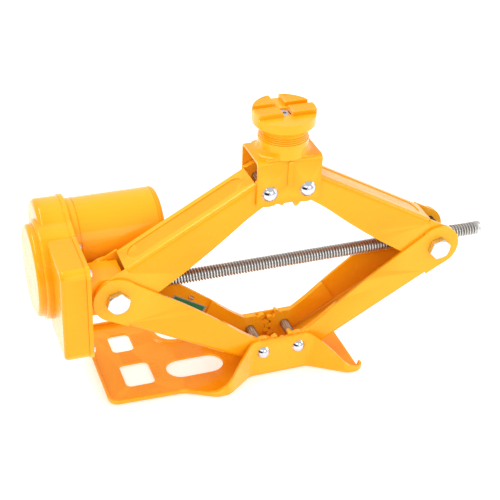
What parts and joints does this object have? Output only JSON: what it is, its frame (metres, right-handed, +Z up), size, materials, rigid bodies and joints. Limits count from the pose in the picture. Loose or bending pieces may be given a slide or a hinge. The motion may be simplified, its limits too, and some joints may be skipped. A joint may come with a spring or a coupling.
{
  "type": "electric scissor car jack",
  "caption": "Yellow electric scissor jack: four-arm lifting linkage on a pressed base, turned by a motor gearbox and lead screw, with a slotted turning saddle.",
  "frame": {"origin": "on the floor, under the middle of the base, midway between the two lower pivots", "axes": "+X along the lead screw towards its free end, +Y to the back where the motor sits, +Z up"},
  "size_m": [0.4625, 0.165, 0.2896],
  "materials": {
    "yellow_powder_coat": "glossy powder coat",
    "bright_chrome": "polished",
    "zinc_plate": "zinc plated, satin",
    "rolled_screw_steel": "rolled thread, oiled",
    "dark_forged_steel": "black oxide",
    "machined_steel": "machined",
    "bronze": "sintered, satin",
    "copper": "turned",
    "lamination_steel": "stacked sheet",
    "motor_can_steel": "zinc plated",
    "ferrite": "ground ceramic",
    "phenolic": "moulded",
    "carbon": "pressed graphite",
    "black_rubber": "moulded",
    "label_foil": "printed foil, blank"
  },
  "bodies": {
    "base": {"base_plate": "yellow_powder_coat", "lower_rivet_left": "bright_chrome", "lower_rivet_right": "bright_chrome"},
    "lower_left": {"lower_arm_left": "yellow_powder_coat", "arm_label": "label_foil", "label_screw": "zinc_plate"},
    "lower_right": {"lower_arm_right": "yellow_powder_coat"},
    "upper_left": {"upper_arm_left": "yellow_powder_coat"},
    "upper_right": {"upper_arm_right": "yellow_powder_coat"},
    "bracket": {"top_bracket": "yellow_powder_coat", "upper_rivet_left": "bright_chrome", "upper_rivet_right": "bright_chrome", "saddle_bush": "bronze"},
    "saddle": {"saddle_pad": "yellow_powder_coat", "saddle_rivet": "zinc_plate", "saddle_washer": "zinc_plate"},
    "power_unit": {"trunnion_frame": "yellow_powder_coat", "trunnion_block_left": "dark_forged_steel", "side_bolt_left_front": "zinc_plate", "side_bolt_left_back": "zinc_plate", "thrust_race_fixed": "machined_steel", "gearbox_plate": "yellow_powder_coat", "gearbox_cover": "yellow_powder_coat", "cover_screws": "zinc_plate", "counter_shaft": "machined_steel", "motor_can": "motor_can_steel", "motor_end_bell": "motor_can_steel", "motor_magnets": "ferrite", "motor_bush_front": "bronze", "motor_bush_rear": "bronze", "brush_holder": "phenolic", "motor_brushes": "carbon", "motor_tie_rods": "zinc_plate", "motor_strap": "zinc_plate", "motor_cover": "yellow_powder_coat", "motor_cover_cap": "yellow_powder_coat", "cable_gland": "black_rubber"},
    "screw": {"lead_screw": "rolled_screw_steel", "thrust_collar": "machined_steel", "collar_pins": "machined_steel", "thrust_race_turning": "machined_steel", "final_gear": "machined_steel", "gear_retaining_ring": "machined_steel"},
    "thrust_cage": {"thrust_cage": "bronze", "thrust_balls": "machined_steel"},
    "counter_gear": {"counter_gear": "machined_steel"},
    "rotor": {"motor_shaft": "machined_steel", "armature": "lamination_steel", "commutator": "copper", "motor_pinion": "machined_steel"},
    "nut_right": {"trunnion_nut_right": "dark_forged_steel", "side_bolt_right_front": "zinc_plate", "side_bolt_right_back": "zinc_plate"}
  },
  "joints": [
    {"name": "fold", "type": "hinge", "parent": "base", "child": "lower_left", "pos_m": [-0.019, 0, 0.03], "axis": [0, 1, 0], "range_deg": [-21.25, 33.25]},
    {"name": "fold_lower_right", "type": "hinge", "parent": "base", "child": "lower_right", "pos_m": [0.019, 0, 0.03], "axis": [0, 1, 0], "range_deg": [-33.75, 21.75]},
    {"name": "fold_upper_left", "type": "hinge", "parent": "lower_left", "child": "upper_left", "pos_m": [-0.16696, 0, 0.12156], "axis": [0, 1, 0], "range_deg": [-67, 43]},
    {"name": "fold_upper_right", "type": "hinge", "parent": "lower_right", "child": "upper_right", "pos_m": [0.16696, 0, 0.12156], "axis": [0, 1, 0], "range_deg": [-43, 67]},
    {"name": "bracket_level", "type": "hinge", "parent": "upper_left", "child": "bracket", "pos_m": [-0.019, 0, 0.21312], "axis": [0, 1, 0], "range_deg": [-21.75, 33.75]},
    {"name": "power_unit_level", "type": "hinge", "parent": "lower_left", "child": "power_unit", "pos_m": [-0.16696, 0, 0.12156], "axis": [0, 1, 0], "range_deg": [-33.75, 21.75]},
    {"name": "nut_level", "type": "hinge", "parent": "lower_right", "child": "nut_right", "pos_m": [0.16696, 0, 0.12156], "axis": [0, 1, 0], "range_deg": [-21.75, 33.75]},
    {"name": "saddle_turn", "type": "hinge", "parent": "bracket", "child": "saddle", "pos_m": [0, 0, 0.28512], "axis": [0, 0, 1], "continuous": true},
    {"name": "screw_spin", "type": "hinge", "parent": "power_unit", "child": "screw", "pos_m": [-0.16696, 0, 0.12156], "axis": [1, 0, 0], "continuous": true},
    {"name": "cage_spin", "type": "hinge", "parent": "power_unit", "child": "thrust_cage", "pos_m": [-0.18096, 0, 0.12156], "axis": [1, 0, 0], "continuous": true},
    {"name": "counter_spin", "type": "hinge", "parent": "power_unit", "child": "counter_gear", "pos_m": [-0.21, 0.03853, 0.13629], "axis": [1, 0, 0], "continuous": true},
    {"name": "rotor_spin", "type": "hinge", "parent": "power_unit", "child": "rotor", "pos_m": [-0.16, 0.069, 0.143], "axis": [1, 0, 0], "continuous": true}
  ],
  "couplings": [
    {"joint": "fold_lower_right", "follows": "fold", "ratio": -1},
    {"joint": "fold_upper_left", "follows": "fold", "ratio": -2},
    {"joint": "fold_upper_right", "follows": "fold", "ratio": 2},
    {"joint": "bracket_level", "follows": "fold", "ratio": 1},
    {"joint": "power_unit_level", "follows": "fold", "ratio": -1},
    {"joint": "nut_level", "follows": "fold", "ratio": 1},
    {"joint": "cage_spin", "follows": "screw_spin", "ratio": 0.5},
    {"joint": "counter_spin", "follows": "screw_spin", "ratio": -4.5},
    {"joint": "rotor_spin", "follows": "screw_spin", "ratio": 24.75}
  ]
}
